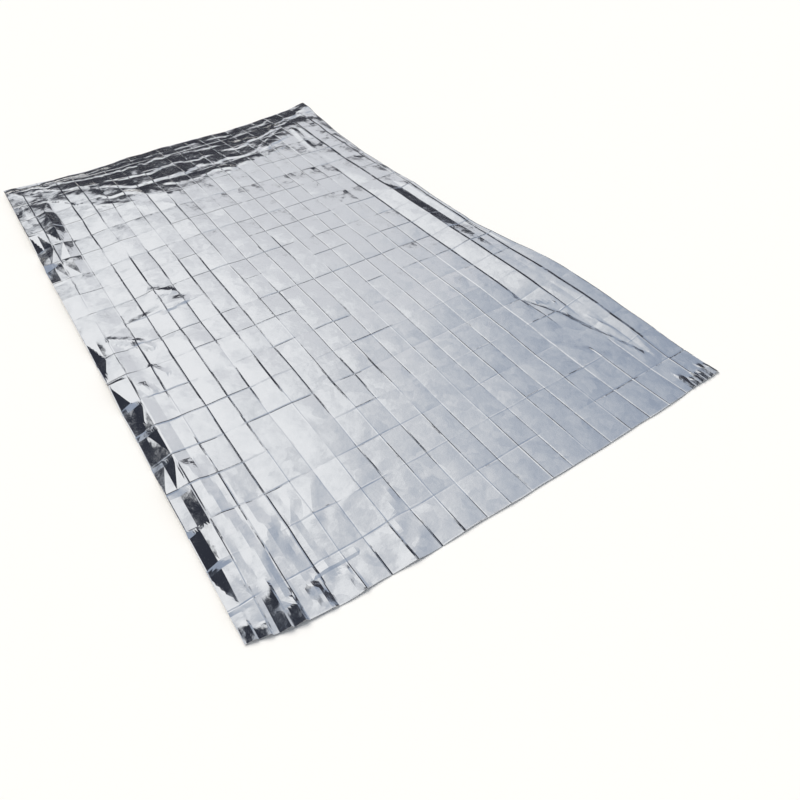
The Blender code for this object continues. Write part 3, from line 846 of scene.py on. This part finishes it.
bpy.ops.object.select_all(action="DESELECT")
bpy.ops.mesh.primitive_plane_add(size=FLOOR_SIZE, location=(0.0, 0.0, 0.0))
floor = bpy.context.object
floor.name = "studio_floor"
floor_paint = bpy.data.materials.new("matt_white_paint")
floor_paint.use_nodes = True
floor_shader = floor_paint.node_tree.nodes["Principled BSDF"]
floor_shader.inputs["Base Color"].default_value = linear("FCF7EE")
floor_shader.inputs["Roughness"].default_value = 0.9
floor_shader.inputs["Specular IOR Level"].default_value = 0.0
floor.data.materials.append(floor_paint)

# The light
# A soft studio dome: white overhead and ahead, cooler to the right, and dark low down
# ahead and to the left, which the film mirrors where it tips away.

bpy.context.scene.view_settings.view_transform = "Standard"
world = bpy.data.worlds.new("studio_dome")
bpy.context.scene.world = world
world.use_nodes = True
sky = world.node_tree
background = sky.nodes["Background"]
direction = add_node(sky, "ShaderNodeTexCoord").outputs["Generated"]


def compass(azimuth, elevation):
    """A direction from its angle round from +Y towards +X, and its angle above the horizon."""
    a, e = math.radians(azimuth), math.radians(elevation)
    return (math.sin(a) * math.cos(e), math.cos(a) * math.cos(e), math.sin(e))


def facing(azimuth, elevation, full, none):
    """1 within `full` degrees of a direction, easing to 0 at `none` degrees."""
    towards = add_node(
        sky,
        "ShaderNodeVectorMath",
        {"operation": "DOT_PRODUCT"},
        {0: direction, 1: compass(azimuth, elevation)},
    )
    eased = add_node(
        sky,
        "ShaderNodeMapRange",
        {"interpolation_type": "SMOOTHSTEP"},
        {
            "Value": towards.outputs["Value"],
            "From Min": math.cos(math.radians(none)),
            "From Max": math.cos(math.radians(full)),
        },
    )
    return eased.outputs["Result"]


def blend(share, below, above):
    """A mix of two colours by a share."""
    mixer = add_node(sky, "ShaderNodeMix", {"data_type": "RGBA"}, {0: share})
    for socket, colour in ((mixer.inputs[6], below), (mixer.inputs[7], above)):
        if isinstance(colour, bpy.types.NodeSocket):
            sky.links.new(colour, socket)
        else:
            socket.default_value = colour
    return mixer.outputs[2]


def times(one, two):
    """The product of two values."""
    return add_node(sky, "ShaderNodeMath", {"operation": "MULTIPLY"}, {0: one, 1: two}).outputs[0]


# The glow overhead: its tone at each angle in degrees from its middle
Glow = namedtuple("Glow", "angle tone")
GLOW = (
    Glow(angle=85, tone=(0.35, 0.40, 0.49, 1.0)),
    Glow(angle=62, tone=(0.35, 0.40, 0.49, 1.0)),
    Glow(angle=49, tone=(0.37, 0.42, 0.51, 1.0)),
    Glow(angle=33, tone=(0.58, 0.61, 0.66, 1.0)),
    Glow(angle=23, tone=(0.74, 0.75, 0.77, 1.0)),
    Glow(angle=19, tone=(0.87, 0.88, 0.89, 1.0)),
    Glow(angle=8, tone=(0.99, 0.99, 0.99, 1.0)),
)
# The low band is full up to one height in degrees, and gone by the other
LOW_BAND_FULL = 21
LOW_BAND_END = 24.5

height_above = add_node(sky, "ShaderNodeSeparateXYZ", links={0: direction}).outputs["Z"]
low = add_node(
    sky,
    "ShaderNodeMapRange",
    {"interpolation_type": "SMOOTHSTEP"},
    {
        "Value": height_above,
        "From Min": math.sin(math.radians(LOW_BAND_FULL)),
        "From Max": math.sin(math.radians(LOW_BAND_END)),
        "To Min": 1.0,
        "To Max": 0.0,
    },
).outputs["Result"]
glow = add_node(
    sky,
    "ShaderNodeVectorMath",
    {"operation": "DOT_PRODUCT"},
    {0: direction, 1: compass(azimuth=5, elevation=50)},
)
ramp = add_node(sky, "ShaderNodeValToRGB", links={0: glow.outputs["Value"]})
for angle, tone in GLOW:
    step = ramp.color_ramp.elements.new(math.cos(math.radians(angle)))
    step.color = tone
ramp.color_ramp.elements.remove(ramp.color_ramp.elements[0])
ramp.color_ramp.elements.remove(ramp.color_ramp.elements[-1])
colour = ramp.outputs["Color"]

# Over the glow: a paler haze to the right, the dark band low down ahead, the dark left
colour = blend(facing(azimuth=33, elevation=24, full=4, none=23), colour, (0.76, 0.765, 0.79, 1.0))
ahead = facing(azimuth=0, elevation=5, full=80, none=98)
colour = blend(times(low, ahead), colour, linear("3C3D44"))
colour = blend(facing(azimuth=-55, elevation=28, full=30, none=39), colour, linear("33363F"))
sky.links.new(colour, background.inputs["Color"])

# The camera itself sees a plain backdrop of near white
studio_wall = add_node(sky, "ShaderNodeBackground", links={"Color": linear("FEFEFA")})
seen = add_node(sky, "ShaderNodeLightPath").outputs["Is Camera Ray"]
both = add_node(
    sky,
    "ShaderNodeMixShader",
    links={0: seen, 1: background.outputs[0], 2: studio_wall.outputs[0]},
)
sky.links.new(both.outputs[0], sky.nodes["World Output"].inputs["Surface"])

lamp_data = bpy.data.lights.new("soft_key", "SUN")
lamp_data.energy = 2.37
lamp_data.angle = math.radians(50)
lamp = bpy.data.objects.new("soft_key", lamp_data)
aim = Vector(compass(-30, 60)).to_track_quat("Z", "Y").to_matrix().to_4x4()
lamp.matrix_world = Matrix.Translation((0, 0, 3)) @ aim
lamp.visible_glossy = False
bpy.context.scene.collection.objects.link(lamp)

# The camera
# It stands at the photo's angle, off the near left corner and a little rolled.

CAMERA_AZIMUTH = -37.45
CAMERA_ELEVATION = 42.68
CAMERA_ROLL = 3.38
CAMERA_PLACE = Vector((-0.9951, -1.6295, 1.3739))
CAMERA_FOCAL_PIXELS = 705.7
CAMERA_SHIFT_PIXELS = 40
PHOTO_PIXELS = 800

camera_data = bpy.data.cameras.new("camera")
camera_data.sensor_width = 36.0
camera_data.lens = camera_data.sensor_width * CAMERA_FOCAL_PIXELS / PHOTO_PIXELS
camera_data.shift_x = CAMERA_SHIFT_PIXELS / PHOTO_PIXELS
camera_data.shift_y = -CAMERA_SHIFT_PIXELS / PHOTO_PIXELS
camera = bpy.data.objects.new("camera", camera_data)
bpy.context.scene.collection.objects.link(camera)
azimuth, elevation = math.radians(CAMERA_AZIMUTH), math.radians(CAMERA_ELEVATION)
back = Vector(
    (
        math.sin(azimuth) * math.cos(elevation),
        -math.cos(azimuth) * math.cos(elevation),
        math.sin(elevation),
    )
)
camera.location = CAMERA_PLACE
camera.rotation_mode = "QUATERNION"
roll = Matrix.Rotation(math.radians(CAMERA_ROLL), 4, "Z").to_quaternion()
camera.rotation_quaternion = (-back).to_track_quat("-Z", "Y") @ roll
bpy.context.scene.camera = camera
